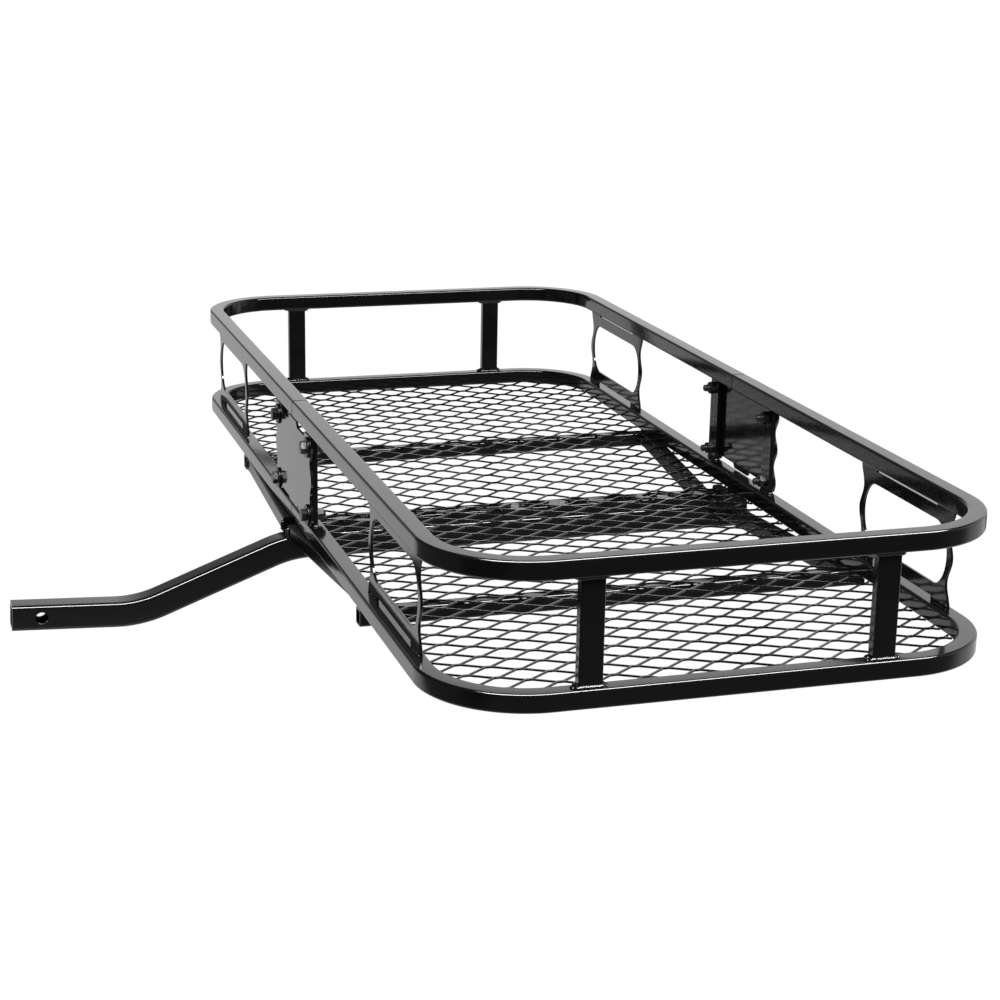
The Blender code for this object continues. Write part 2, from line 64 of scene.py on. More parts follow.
BAR_RISE_ANGLE = math.radians(21.0)
PIN_TO_END = 0.0352
PIN_TO_BEND = 0.1185
RISE_LENGTH = 0.2020
PIN_HOLE = 0.0151
BAR_TO_RAIL = 0.0141
BAR_END_INSET = 0.0022
POST_WIDTH = 0.0254
POST_DEPTH = 0.0127
END_POST_Y = 0.156
MIDDLE_POST_WIDTH = 0.0254
MIDDLE_POST_DEPTH = 0.0064
MIDDLE_POST_X = 0.0875
PLATE = 0.003
PLATE_SETBACK = 0.0011
BRACKET_X = {"left": 0.4595, "right": -0.476}
BRACKET_HALF = 0.1095
BRACKET_BULGE = 0.0005
BRACKET_WAIST = 0.0085
BRACKET_OPENING_HALF = 0.071
BRACKET_OPENING_BULGE = 0.0275
BRACKET_BAR = 0.0205
BRACKET_SLOT = 0.0052
BRACKET_INSET = {"front": 0.003, "rear": 0.0}
JOINER_X = {"front": 0.0, "rear": -0.0075}
JOINER_POSTS_X = {"front": 0.0, "rear": -0.0030}
JOINER_HALF = 0.106
JOINER_WAIST = 0.0085
JOINER_GAP = 0.0020
JOINER_NOTCHES = {"front": (0.0032, 0.0065), "rear": (0.0055, 0.0032)}
JOINER_NOTCH_SLANT = 0.004
JOINER_TAB_HALF = 0.021
JOINER_EAR = 0.036
JOINER_EAR_INSET = 0.0105
BOLT_LEVELS = {
    "front": {"low": 0.0325, "high": 0.1160},
    "rear": {"low": 0.0351, "high": 0.1186},
}
BOLT = 0.0095
BOLT_ACROSS_FLATS = 0.0143
BOLT_HEAD = 0.0062
ROUND_HEAD = 0.0025
ROUND_HEAD_OUTER = 0.019
BOLT_TAIL = {"front": 0.003, "rear": 0.007}
NUT = 0.0082
WASHER_OUTER = 0.0254
WASHER = 0.0021
FRAME_BOLT = 0.0079
FRAME_BOLT_HEAD = 0.0050
FRAME_BOLT_ACROSS_FLATS = 0.0127
FRAME_BOLT_LENGTH = 0.022
FRAME_BOLT_Y = 0.270
TUBE = 0.01905
CROSS_TUBE_X = {"left": 0.347, "right": -0.3275}
CROSS_TUBE_INSET = 0.001
FRONT_BRACE_Y = {"left": (-0.2735, -0.3045), "right": (-0.293, -0.3045)}
REAR_BRACE_Y = (0.290, 0.250)
FLOOR_BAR_WIDTH = 0.0154
FLOOR_BAR_INSET = 0.0025
GAP = 0.0003

NOSE = Vector((0, -math.cos(BAR_RAKE), math.sin(BAR_RAKE)))
BAR_END = NOSE * PIN_TO_END
BAR_LOW_CORNER = NOSE * -PIN_TO_BEND
BAR_HIGH_CORNER = BAR_LOW_CORNER + RISE_LENGTH * Vector(
    (0, math.cos(BAR_RISE_ANGLE), math.sin(BAR_RISE_ANGLE))
)
BASKET_CENTRE = Vector((0, 0.6169, BAR_HIGH_CORNER.z + BAR / 2 + BAR_TO_RAIL))
BAR_TAIL = Vector((0, BASKET_CENTRE.y + WIDTH / 2 - BAR_END_INSET, BAR_HIGH_CORNER.z))
RAIL_LINE_X = (LENGTH - RAIL) / 2
RAIL_LINE_Y = (WIDTH - RAIL) / 2
BEND_LINE_RADIUS = CORNER_RADIUS - RAIL / 2
LOW_EDGE = RAIL + GAP
HIGH_EDGE = SIDE_HEIGHT - RAIL - GAP
JOINER_FACE = WIDTH / 2 - PLATE_SETBACK
MIDDLE_POST_FACE = JOINER_FACE - PLATE - GAP
TUBE_TOP = -GAP
FLOOR_BAR_HEIGHT = BAR_TO_RAIL - 2 * GAP
SIDES = {"left": 1, "right": -1}
FLANKS = {"front": -1, "rear": 1}
X_AXIS, Y_AXIS, Z_AXIS = Vector((1, 0, 0)), Vector((0, 1, 0)), Vector((0, 0, 1))
IN_BASKET = Matrix.Translation(BASKET_CENTRE)

# ---- Detail that only the looks have ----
SEAM_GAP = 0.0022  # wider than in the CAD, so that the seams' shadow lines show
EDGE_BREAK = 0.00012  # cut tube ends are deburred by this much
PLATE_EDGE = 0.0005  # rounding of the sheet's pressed edges
FLAT_BAR_EDGE = 0.0008  # rounding of the flat bars' rolled edges
STRAND_EDGE = 0.00025  # rounding of the floor's strands
LEAST_INNER_EDGE = 0.0003  # radius along the tubes' inside edges
HOLE_CLEARANCE = 0.0005  # bolt holes round their bolts, on the radius
BEND_STEPS = 28
EDGE_STEPS = 4
SHARP_ANGLE = math.radians(35)
BAR_SHARP_ANGLE = math.radians(38)
ROUNDED_ANGLE = math.radians(40)  # edges that turn more than this are rounded
FACE_WEIGHT = 60  # how much the large faces rule the shading
LATHE_POINTS = 36
CHAMFER_START = 0.985  # share of the width across flats where a hexagon's chamfer starts
HEAD_FACE = 0.80  # the same for the flat middle of a bolt's head
WASHER_FACE = 0.97  # the same for the raised face under it
WASHER_FACE_HEIGHT = 0.0004
BOLT_TIP = 0.80  # share of the diameter that a bolt ends in
THREAD_LEAD_IN, THREAD_LEAD_OUT = 0.0002, 0.0006  # plain shank before the thread, point after it
THREAD_SPARE = 0.001  # thread on the bolts past what their nuts take
FRAME_BOLT_THREADED = 0.010
NUT_CHAMFER = 0.0005
THREAD_PITCH = 0.0015875
THREAD_DEPTH = 0.0007
THREAD_STEPS = 6  # loops in each turn
FLOOR_LOW, FLOOR_HIGH = 0.0002, 0.0024
STRAND_HALF = 0.0010  # half the strand's width
BOND_HALF = 0.0019  # half the width where two strands join
STRAND_LEAN = 0.00022  # each strand's far edge lies lower and its near edge higher by this
LATTICE = {  # expanded metal: a bond's place, the two steps between bonds, and a bond's length
    "left": (
        Vector((0.5565, -0.1621)),
        Vector((0.01317, 0.02895)),
        Vector((0.01807, -0.02905)),
        0.0045,
    ),
    "right": (
        Vector((-0.4324, -0.0246)),
        Vector((0.0181, 0.0273)),
        Vector((0.0207, -0.02905)),
        0.0060,
    ),
}
LATTICE_REACH = 70  # steps laid out each way from that bond
LATTICE_MARGIN = 0.05  # beyond the floor's edge, before it is cut
CORNER_PLANES = 16  # flat cuts that make up each round corner
FLOOR_SEAM = 0.0004  # from the middle to each floor's inner edge


# ---- Materials ----
class Nodes:
    """A material's node tree, built call by call."""

    def __init__(self, name):
        self.material = bpy.data.materials.new(name)
        self.material.use_nodes = True
        self.tree = self.material.node_tree
        self.shader = self.tree.nodes["Principled BSDF"]
        self.place = self.add("ShaderNodeTexCoord").outputs["Object"]

    def add(self, kind, **values):
        node = self.tree.nodes.new(kind)
        for name, value in values.items():
            setattr(node, name, value)
        return node

    def link(self, source, target):
        self.tree.links.new(source, target)

    def noise(self, scale, detail=2.0, roughness=0.5):
        node = self.add("ShaderNodeTexNoise")
        node.inputs["Scale"].default_value = scale
        node.inputs["Detail"].default_value = detail
        node.inputs["Roughness"].default_value = roughness
        self.link(self.place, node.inputs["Vector"])
        return node.outputs["Fac"]

    def spread(self, source, low, high, from_low=0.3, from_high=0.7):
        node = self.add("ShaderNodeMapRange")
        for name, value in (
            ("From Min", from_low),
            ("From Max", from_high),
            ("To Min", low),
            ("To Max", high),
        ):
            node.inputs[name].default_value = value
        self.link(source, node.inputs["Value"])
        return node.outputs["Result"]

    def colours(self, factor, first, second):
        node = self.add("ShaderNodeMix", data_type="RGBA")
        self.link(factor, node.inputs["Factor"])
        node.inputs[6].default_value = (*first, 1)
        node.inputs[7].default_value = (*second, 1)
        return node.outputs[2]

    def bump(self, layers):
        """Stacks (height, distance) layers and feeds the shader's normal."""
        normal = None
        for height, distance in layers:
            node = self.add("ShaderNodeBump")
            node.inputs["Strength"].default_value = 1.0
            node.inputs["Distance"].default_value = distance
            self.link(height, node.inputs["Height"])
            if normal:
                self.link(normal, node.inputs["Normal"])
            normal = node.outputs["Normal"]
        self.link(normal, self.shader.inputs["Normal"])


def powder_coat(name, roughness, colour, waviness, peel, ior=1.5):
    """Black powder coat: slow waves of the drawn steel under a fine orange peel."""
    nodes = Nodes(name)
    shader = nodes.shader
    shader.inputs["IOR"].default_value = ior
    patches = nodes.noise(14.0, 3.0)
    tint = nodes.colours(patches, [c * 0.8 for c in colour], [c * 1.25 for c in colour])
    nodes.link(tint, shader.inputs["Base Color"])
    finish = nodes.noise(55.0, 4.0, 0.6)
    nodes.link(
        nodes.spread(finish, roughness * 0.82, roughness * 1.2), shader.inputs["Roughness"]
    )
    nodes.bump(
        [(nodes.noise(70.0, 1.0), waviness), (nodes.noise(900.0, 2.0), peel)]
    )
    return nodes.material


def black_zinc():
    nodes = Nodes("black_zinc")
    shader = nodes.shader
    shader.inputs["Metallic"].default_value = 1.0
    tint = nodes.colours(nodes.noise(180.0, 3.0), (0.030, 0.030, 0.031), (0.062, 0.061, 0.059))
    nodes.link(tint, shader.inputs["Base Color"])
    nodes.link(nodes.spread(nodes.noise(400.0, 3.0), 0.30, 0.44), shader.inputs["Roughness"])
    nodes.bump([(nodes.noise(600.0, 2.0), 0.00002)])
    return nodes.material


# ---- Making pieces ----
def finish_piece(name, bm, material, nodes, transform=IN_BASKET, bevel=0.0, sharp=SHARP_ANGLE):
    """Turns a bmesh into a piece that rides on the root body and stands for CAD nodes."""
    bmesh.ops.recalc_face_normals(bm, faces=bm.faces)
    bm.transform(transform)
    mesh = bpy.data.meshes.new(name)
    bm.to_mesh(mesh)
    bm.free()
    mesh.materials.append(material)
    piece = bpy.data.objects.new(name, mesh)
    bpy.context.scene.collection.objects.link(piece)
    for polygon in mesh.polygons:
        polygon.use_smooth = True
    mesh.set_sharp_from_angle(angle=sharp)
    if bevel:
        rounding = piece.modifiers.new("rounding", "BEVEL")
        rounding.width = bevel
        rounding.segments = 2
        rounding.limit_method = "ANGLE"
        rounding.angle_limit = ROUNDED_ANGLE
        rounding.harden_normals = False
    weighting = piece.modifiers.new("flat_faces", "WEIGHTED_NORMAL")
    weighting.keep_sharp = True
    weighting.weight = FACE_WEIGHT
    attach(piece, "root")
    if nodes:
        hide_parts(*nodes)
    return piece


def rounded_rectangle(width, height, radius, steps=EDGE_STEPS):
    points = []
    for quarter, (sign_u, sign_v) in enumerate(((1, 1), (-1, 1), (-1, -1), (1, -1))):
        centre = Vector((sign_u * (width / 2 - radius), sign_v * (height / 2 - radius)))
        for step in range(steps + 1):
            angle = math.pi / 2 * (quarter + step / steps)
            points.append(centre + radius * Vector((math.cos(angle), math.sin(angle))))
    return points


def bent_route(corners, radius, steps=BEND_STEPS):
    """Stations (point, direction) along straight runs with an arc at each inner corner."""
    stations = [(corners[0], (corners[1] - corners[0]).normalized())]
    for before, corner, after in zip(corners, corners[1:], corners[2:]):
        arriving = (corner - before).normalized()
        leaving = (after - corner).normalized()
        turn = arriving.angle(leaving)
        tangent_length = radius * math.tan(turn / 2)
        axis = arriving.cross(leaving).normalized()
        inward = axis.cross(arriving)
        centre = corner - arriving * tangent_length + inward * radius
        for step in range(steps + 1):
            rotation = Matrix.Rotation(turn * step / steps, 3, axis)
            stations.append((centre - rotation @ (inward * radius), rotation @ arriving))
    stations.append((corners[-1], (corners[-1] - corners[-2]).normalized()))
    return stations


def bridge(bm, first, second):
    for index in range(len(first)):
        following = (index + 1) % len(first)
        bm.faces.new((first[index], first[following], second[following], second[index]))


def sweep_tube(stations, plane_normal, width, height, wall, edge):
    """Open-ended tube with deburred ends, as one closed skin."""
    outer = rounded_rectangle(width, height, edge)
    broken = rounded_rectangle(width - 2 * EDGE_BREAK, height - 2 * EDGE_BREAK, edge - EDGE_BREAK)
    inner_edge = max(edge - wall, LEAST_INNER_EDGE)
    inner = rounded_rectangle(width - 2 * wall, height - 2 * wall, inner_edge)
    (start, start_way), (end, end_way) = stations[0], stations[-1]
    first_step = (stations[1][0] - start).normalized() * EDGE_BREAK
    last_step = (stations[-2][0] - end).normalized() * EDGE_BREAK
    bends = stations[1:-1]
    loops = [(outer, start + first_step, start_way)]
    loops += [(outer, *station) for station in bends]
    loops += [(outer, end + last_step, end_way), (broken, end, end_way), (inner, end, end_way)]
    loops += [(inner, *station) for station in reversed(bends)]
    loops += [(inner, start, start_way), (broken, start, start_way)]
    bm = bmesh.new()
    rings = []
    for outline, point, direction in loops:
        side = direction.cross(plane_normal).normalized()
        rings.append([bm.verts.new(point + side * u + plane_normal * v) for u, v in outline])
    for before, after in zip(rings, rings[1:] + rings[:1]):
        bridge(bm, before, after)
    return bm


def sweep_bar(stations, plane_normal, size, edge):
    """Closed bar with broken edges at its ends."""
    outer = rounded_rectangle(size, size, edge)
    broken = rounded_rectangle(size - 2 * EDGE_BREAK, size - 2 * EDGE_BREAK, edge - EDGE_BREAK)
    (start, direction), (end, _) = stations
    step = (end - start).normalized() * EDGE_BREAK
    bm = bmesh.new()
    side = direction.cross(plane_normal).normalized()
    loops = ((broken, start), (outer, start + step), (outer, end - step), (broken, end))
    rings = [
        [bm.verts.new(point + side * u + plane_normal * v) for u, v in outline]
        for outline, point in loops
    ]
    for before, after in zip(rings, rings[1:]):
        bridge(bm, before, after)
    return capped(bm, rings)


def sheet(outline, holes, low, high):
    """Flat piece with holes. The outlines lie in XZ and the thickness runs from Y = low to Y = high."""
    bm = bmesh.new()
    edges = []
    for loop in (outline, *holes):
        verts = [bm.verts.new((x, low, z)) for x, z in loop]
        edges += [bm.edges.new(pair) for pair in zip(verts, verts[1:] + verts[:1])]
    bmesh.ops.triangle_fill(bm, edges=edges, use_beauty=True, use_dissolve=False)
    top = bmesh.ops.extrude_face_region(bm, geom=bm.faces[:], use_keep_orig=True)
    moved = [item for item in top["geom"] if isinstance(item, bmesh.types.BMVert)]
    bmesh.ops.translate(bm, vec=(0, high - low, 0), verts=moved)
    return bm


def circle_points(radius, count=32, centre=(0, 0)):
    return [
        (
            centre[0] + radius * math.cos(math.tau * i / count),
            centre[1] + radius * math.sin(math.tau * i / count),
        )
        for i in range(count)
    ]


def barrel_edge(half, waist, bulge_setback, low, high, ear_inset, steps):
    """Points up the +X edge of a bracket: ear, waist, round bulge, waist, ear."""
    points = []
    for step in range(steps + 1):
        height = low + (high - low) * step / steps
        turn = math.tau * (height - low - ear_inset) / (high - low - 2 * ear_inset)
        cut = waist * (1 - math.cos(2 * turn)) / 2 + bulge_setback * (1 - math.cos(turn)) / 2
        points.append((half - cut, height))
    return points


def mirrored(points):
    return points + [(-x, z) for x, z in reversed(points)]


def lathe(profiles, count):
    """Skin through closed loops of (radius at each angle, height), joined end to end along +Y."""
    bm = bmesh.new()
    rings = []
    for radius_at, height in profiles:
        ring = []
        for index in range(count):
            angle = math.tau * index / count
            radius = radius_at(angle) if callable(radius_at) else radius_at
            y = height(angle) if callable(height) else height
            ring.append(bm.verts.new((radius * math.cos(angle), y, radius * math.sin(angle))))
        rings.append(ring)
    for before, after in zip(rings, rings[1:]):
        bridge(bm, before, after)
    return bm, rings


def hexagon(across_flats):
    """Radius of a hexagon at an angle."""

    def radius_at(angle):
        folded = (angle + math.pi / 6) % (math.pi / 3) - math.pi / 6
        return across_flats / 2 / math.cos(folded - math.copysign(math.pi / 6, folded))

    return radius_at


def chamfer(across_flats, face, outwards):
    """Height of a hexagon's side edge under a 30 degree chamfer on its end face."""
    radius_at = hexagon(across_flats)

    def height_at(angle):
        drop = max(radius_at(angle) - across_flats / 2 * CHAMFER_START, 0) * math.tan(math.radians(30))
        return face - outwards * drop

    return height_at


def thread(diameter, start, end):
    """Loops of a screw thread along +Y, as one helical skin."""
    loops = []
    steps = round((end - start) / THREAD_PITCH * THREAD_STEPS)
    for step in range(steps + 1):
        height = start + (end - start) * step / steps
        taper = min(1.0, (end - height) / THREAD_PITCH + 0.25)

        def radius_at(angle, height=height, taper=taper):
            phase = (height / THREAD_PITCH - angle / math.tau) % 1.0
            return diameter / 2 * (0.93 + 0.07 * taper) - THREAD_DEPTH * abs(2 * phase - 1)

        loops.append((radius_at, height))
    return loops


def capped(bm, rings):
    bm.faces.new(rings[0])
    bm.faces.new(rings[-1])
    return bm


def hexagon_bolt(across_flats, head, diameter, length, threaded):
    """Head from Y = -head to 0, and its shank along +Y, threaded at the end."""
    profiles = [
        (across_flats / 2 * HEAD_FACE, -head),
        (across_flats / 2 * CHAMFER_START, -head),
        (hexagon(across_flats), chamfer(across_flats, -head, -1)),
        (hexagon(across_flats), -WASHER_FACE_HEIGHT),
        (across_flats / 2 * WASHER_FACE, -WASHER_FACE_HEIGHT),
        (across_flats / 2 * WASHER_FACE, 0),
        (diameter / 2, 0),
        (diameter / 2, length - threaded),
    ]
    profiles += thread(diameter, length - threaded + THREAD_LEAD_IN, length - THREAD_LEAD_OUT)
    profiles.append((diameter / 2 * BOLT_TIP, length))
    return capped(*lathe(profiles, LATHE_POINTS))


def round_bolt(outer, head, diameter, length, threaded):
    """Low round head from Y = -head to 0, and its shank along +Y."""
    profiles = []
    for step in range(1, 9):
        angle = math.pi / 2 * step / 8
        profiles.append((outer / 2 * math.sin(angle), -head * math.cos(angle) ** 0.8))
    profiles[-1] = (outer / 2, -0.0003)
    profiles += [(outer / 2, 0), (diameter / 2, 0), (diameter / 2, length - threaded)]
    profiles += thread(diameter, length - threaded + THREAD_LEAD_IN, length - THREAD_LEAD_OUT)
    profiles.append((diameter / 2 * BOLT_TIP, length))
    return capped(*lathe(profiles, LATHE_POINTS))


def ring_piece(profiles, count=LATHE_POINTS):
    """A closed ring: the last loop joins the first."""
    bm, rings = lathe(profiles, count)
    bridge(bm, rings[-1], rings[0])
    return bm


def nut_piece(across_flats, bore, height):
    flat = across_flats / 2 * CHAMFER_START
    return ring_piece(
        [
            (bore / 2, NUT_CHAMFER),
            (bore / 2 + NUT_CHAMFER, 0),
            (flat, 0),
            (hexagon(across_flats), chamfer(across_flats, 0, -1)),
            (hexagon(across_flats), chamfer(across_flats, height, 1)),
            (flat, height),
            (bore / 2 + NUT_CHAMFER, height),
            (bore / 2, height - NUT_CHAMFER),
        ]
    )


def washer_piece(outer, bore, thickness):
    edge = 0.0003
    return ring_piece(
        [
            (bore / 2, edge),
            (bore / 2 + edge, 0),
            (outer / 2 - edge, 0),
            (outer / 2, edge),
            (outer / 2, thickness - edge),
            (outer / 2 - edge, thickness),
            (bore / 2 + edge, thickness),
            (bore / 2, thickness - edge),
        ],
        48,
    )


# ---- Weld beads ----
WELD_POINTS = 10
WELD_SPACING = 0.0008
WELD_RIPPLE = 0.0023  # from one ripple to the next
WELD_SLOW_SWELL, WELD_RIPPLE_SWELL = 0.16, 0.26  # how much each adds to a bead's radius
WELD_LEAST = 0.80  # share of the radius that a bead has with neither
WELD_LUMPS = 0.10  # unevenness of its skin
WELD_JOG_ASIDE, WELD_JOG_UP = 0.10, 0.06  # how far it wanders, in radii
POST_WELD = 0.0031  # radius of the beads round the end posts' feet and heads
POST_WELD_SKIRT = 0.0032  # from there to the small bead on the rail beside them
GUSSET_WELD = 0.0015
GUSSET_WELD_ENDS = (0.080, 0.106)  # from the corner bracket's middle
FLAT_BAR_WELD = 0.0019
CROSS_TUBE_WELD = 0.0019
BRACE_WELD = 0.0028


def weld(bm, path, radius, seed, closed=False):
    """A lumpy, rippled bead along a path. It is part of the object, half sunk in the steel."""
    draw = random.Random(seed)
    points = []
    if closed:
        path = path + path[:1]
    for a, b in zip(path, path[1:]):
        count = max(1, round((b - a).length / WELD_SPACING))
        points += [a.lerp(b, i / count) for i in range(count)]
    if not closed:
        points.append(path[-1])
    count = len(points)
    phase = draw.random() * math.tau
    swell = [draw.uniform(-1, 1) for _ in range(count // 6 + 3)]
    rings = []
    for index, point in enumerate(points):
        before = points[index - 1] if closed or index else points[0]
        after = points[(index + 1) % count] if closed or index < count - 1 else points[-1]
        way = (after - before).normalized()
        reference = Z_AXIS if abs(way.z) < 0.9 else X_AXIS
        side = way.cross(reference).normalized()
        up = side.cross(way)
        slot_at, blend = divmod(index / 6, 1)
        slow = swell[int(slot_at)] * (1 - blend) + swell[int(slot_at) + 1] * blend
        ripple = abs(math.sin(math.pi * index * WELD_SPACING / WELD_RIPPLE + phase))
        size = radius * (WELD_LEAST + WELD_SLOW_SWELL * slow + WELD_RIPPLE_SWELL * ripple)
        if not closed:
            end = min(index, count - 1 - index) * WELD_SPACING
            size *= math.sqrt(min(1.0, (end + 0.0002) / (radius * 1.2)))
        jog = side * radius * WELD_JOG_ASIDE * draw.uniform(-1, 1)
        jog += up * radius * WELD_JOG_UP * draw.uniform(-1, 1)
        ring = []
        for corner in range(WELD_POINTS):
            angle = math.tau * corner / WELD_POINTS
            reach = size * draw.uniform(1 - WELD_LUMPS, 1 + WELD_LUMPS)
            ring.append(
                bm.verts.new(point + jog + reach * (side * math.cos(angle) + up * math.sin(angle)))
            )
        rings.append(ring)
    for first, second in zip(rings, rings[1:]):
        bridge(bm, first, second)
    if closed:
        bridge(bm, rings[-1], rings[0])
    else:
        bm.faces.new(rings[0])
        bm.faces.new(rings[-1])


def loop_round(centre, width, depth, radius=0.0015):
    """Closed path round an upright post's foot or head."""
    return [
        centre + Vector((u, v, 0)) for u, v in rounded_rectangle(width, depth, radius, steps=2)
    ]


def welds(name, beads):
    bm = bmesh.new()
    for path, radius, seed, closed in beads:
        weld(bm, path, radius, seed, closed)
    return finish_piece(name, bm, weld_paint, (), sharp=math.radians(180))


# ---- Pieces ----
def build_hitch_bar():
    corners = [BAR_END, BAR_LOW_CORNER, BAR_HIGH_CORNER, BAR_TAIL]
    stations = bent_route(corners, BAR_BEND_RADIUS)
    bm = sweep_tube(stations, X_AXIS, BAR, BAR, BAR_WALL, BAR_EDGE)
    bar = finish_piece(
        "receiver_bar", bm, bar_paint, ["hitch_bar"], Matrix(), sharp=BAR_SHARP_ANGLE
    )
    cutter_bm, rings = lathe([(PIN_HOLE / 2, -BAR), (PIN_HOLE / 2, BAR)], 48)
    capped(cutter_bm, rings)
    bmesh.ops.recalc_face_normals(cutter_bm, faces=cutter_bm.faces)
    cutter_bm.transform(Matrix.Rotation(math.pi / 2, 4, "Z"))
    cutter_mesh = bpy.data.meshes.new("pin_cutter")
    cutter_bm.to_mesh(cutter_mesh)
    cutter_bm.free()
    cutter = bpy.data.objects.new("pin_cutter", cutter_mesh)
    bpy.context.scene.collection.objects.link(cutter)
    cut = bar.modifiers.new("pin_hole", "BOOLEAN")
    cut.object = cutter
    cut.operation = "DIFFERENCE"
    cut.solver = "EXACT"
    bar.modifiers.move(len(bar.modifiers) - 1, 0)
    bpy.context.view_layer.objects.active = bar
    with bpy.context.temp_override(object=bar, active_object=bar):
        bpy.ops.object.modifier_apply(modifier="pin_hole")
    bpy.data.objects.remove(cutter, do_unlink=True)
    bar.data.set_sharp_from_angle(angle=BAR_SHARP_ANGLE)


def build_rails(side):
    sign = SIDES[side]
    for level, height in (("lower", RAIL / 2), ("upper", SIDE_HEIGHT - RAIL / 2)):
        start_x, end_x = (SEAM[level][flank] + sign * SEAM_GAP / 2 for flank in FLANKS)
        corners = [
            Vector((start_x, -RAIL_LINE_Y, height)),
            Vector((sign * RAIL_LINE_X, -RAIL_LINE_Y, height)),
            Vector((sign * RAIL_LINE_X, RAIL_LINE_Y, height)),
            Vector((end_x, RAIL_LINE_Y, height)),
        ]
        stations = bent_route(corners, BEND_LINE_RADIUS)
        bm = sweep_tube(stations, Z_AXIS, RAIL, RAIL, RAIL_WALL, RAIL_EDGE)
        finish_piece(
            f"{side}_{level}_tube", bm, rail_paint, [f"{side}_{level}_rail"]
        )


def build_end_posts(side):
    beads = []
    for flank, flank_sign in FLANKS.items():
        foot = Vector((SIDES[side] * RAIL_LINE_X, flank_sign * END_POST_Y, LOW_EDGE - GAP / 2))
        head = Vector((foot.x, foot.y, HIGH_EDGE + GAP / 2))
        bm = sweep_tube(
            [(foot, Z_AXIS), (head, Z_AXIS)], Y_AXIS, POST_DEPTH, POST_WIDTH, RAIL_WALL, 0.002
        )
        finish_piece(
            f"{side}_{flank}_upright", bm, rail_paint, [f"{side}_{flank}_end_post"]
        )
        for number, end in enumerate((foot, head)):
            path = loop_round(end, RAIL - 3.0 * POST_WELD, POST_WIDTH + 0.0024)
            beads.append((path, POST_WELD, f"{side}{flank}{number}", True))
            for y_sign in (-1, 1):
                corner = end + Vector((0, y_sign * (POST_WIDTH / 2 + 0.0010), 0))
                across = Vector((RAIL / 2 - 1.7 * POST_WELD, 0, 0))
                path = [corner - across, corner + across]
                beads.append((path, 1.15 * POST_WELD, f"{side}{flank}{number}{y_sign}f", False))
                skirt = Vector((0, y_sign * POST_WELD_SKIRT, 0))
                path = [point + skirt for point in path]
                beads.append((path, 0.75 * POST_WELD, f"{side}{flank}{number}{y_sign}s", False))
    welds(f"{side}_upright_welds", beads)


def bracket_outline():
    slot_low = LOW_EDGE + BRACKET_SLOT
    slot_high = HIGH_EDGE - BRACKET_SLOT
    edge = [(BRACKET_OPENING_HALF, slot_low), (BRACKET_OPENING_HALF, LOW_EDGE)]
    edge += barrel_edge(BRACKET_HALF, BRACKET_WAIST, BRACKET_BULGE, LOW_EDGE, HIGH_EDGE, 0, 48)
    edge += [(BRACKET_OPENING_HALF, HIGH_EDGE), (BRACKET_OPENING_HALF, slot_high)]
    hole_low = LOW_EDGE + BRACKET_BAR
    hole_height = HIGH_EDGE - LOW_EDGE - 2 * BRACKET_BAR
    round_end = []
    for step in range(29):
        angle = math.pi * step / 28
        round_end.append(
            (
                BRACKET_OPENING_HALF + BRACKET_OPENING_BULGE * math.sin(angle),
                hole_low + hole_height * (1 - math.cos(angle)) / 2,
            )
        )
    return mirrored(edge), mirrored(round_end)


def build_corner_brackets(side):
    outline, opening = bracket_outline()
    for flank, flank_sign in FLANKS.items():
        bm = sheet(outline, [opening], -PLATE / 2, PLATE / 2)
        centre = Vector(
            (BRACKET_X[side], flank_sign * (RAIL_LINE_Y - BRACKET_INSET[flank]), 0)
        )
        finish_piece(
            f"{side}_{flank}_gusset",
            bm,
            plate_paint,
            [f"{side}_{flank}_corner_bracket"],
            IN_BASKET @ Matrix.Translation(centre),
            bevel=PLATE_EDGE,
        )
        beads = []
        for number, (level, x_sign) in enumerate(
            (level, x_sign) for level in (LOW_EDGE, HIGH_EDGE) for x_sign in (-1, 1)
        ):
            for face in (-1, 1):
                path = [
                    Vector((x_sign * x, face * PLATE / 2, level)) + centre for x in GUSSET_WELD_ENDS
                ]
                beads.append((path, GUSSET_WELD, f"{side}{flank}{number}{face}", False))
        welds(f"{side}_{flank}_gusset_welds", beads)


def build_middle_posts(side):
    half = MIDDLE_POST_WIDTH / 2
    outline = [(half, LOW_EDGE), (half, HIGH_EDGE), (-half, HIGH_EDGE), (-half, LOW_EDGE)]
    for flank, flank_sign in FLANKS.items():
        levels = BOLT_LEVELS[flank].values()
        holes = [circle_points(BOLT / 2 + HOLE_CLEARANCE, centre=(0, z)) for z in levels]
        centre = Vector((JOINER_POSTS_X[flank] + SIDES[side] * MIDDLE_POST_X, 0, 0))
        low, high = sorted(
            flank_sign * y for y in (MIDDLE_POST_FACE, MIDDLE_POST_FACE - MIDDLE_POST_DEPTH)
        )
        bm = sheet(outline, holes, low, high)
        finish_piece(
            f"{side}_{flank}_flat_bar",
            bm,
            rail_paint,
            [f"{side}_{flank}_middle_post"],
            IN_BASKET @ Matrix.Translation(centre),
            bevel=FLAT_BAR_EDGE,
        )
        beads = []
        middle = (low + high) / 2
        for number, level in enumerate((LOW_EDGE, HIGH_EDGE)):
            path = loop_round(
                centre + Vector((0, middle, level)), MIDDLE_POST_WIDTH, MIDDLE_POST_DEPTH - 0.001
            )
            beads.append((path, FLAT_BAR_WELD, f"{side}{flank}{number}p", True))
        welds(f"{side}_{flank}_flat_bar_welds", beads)


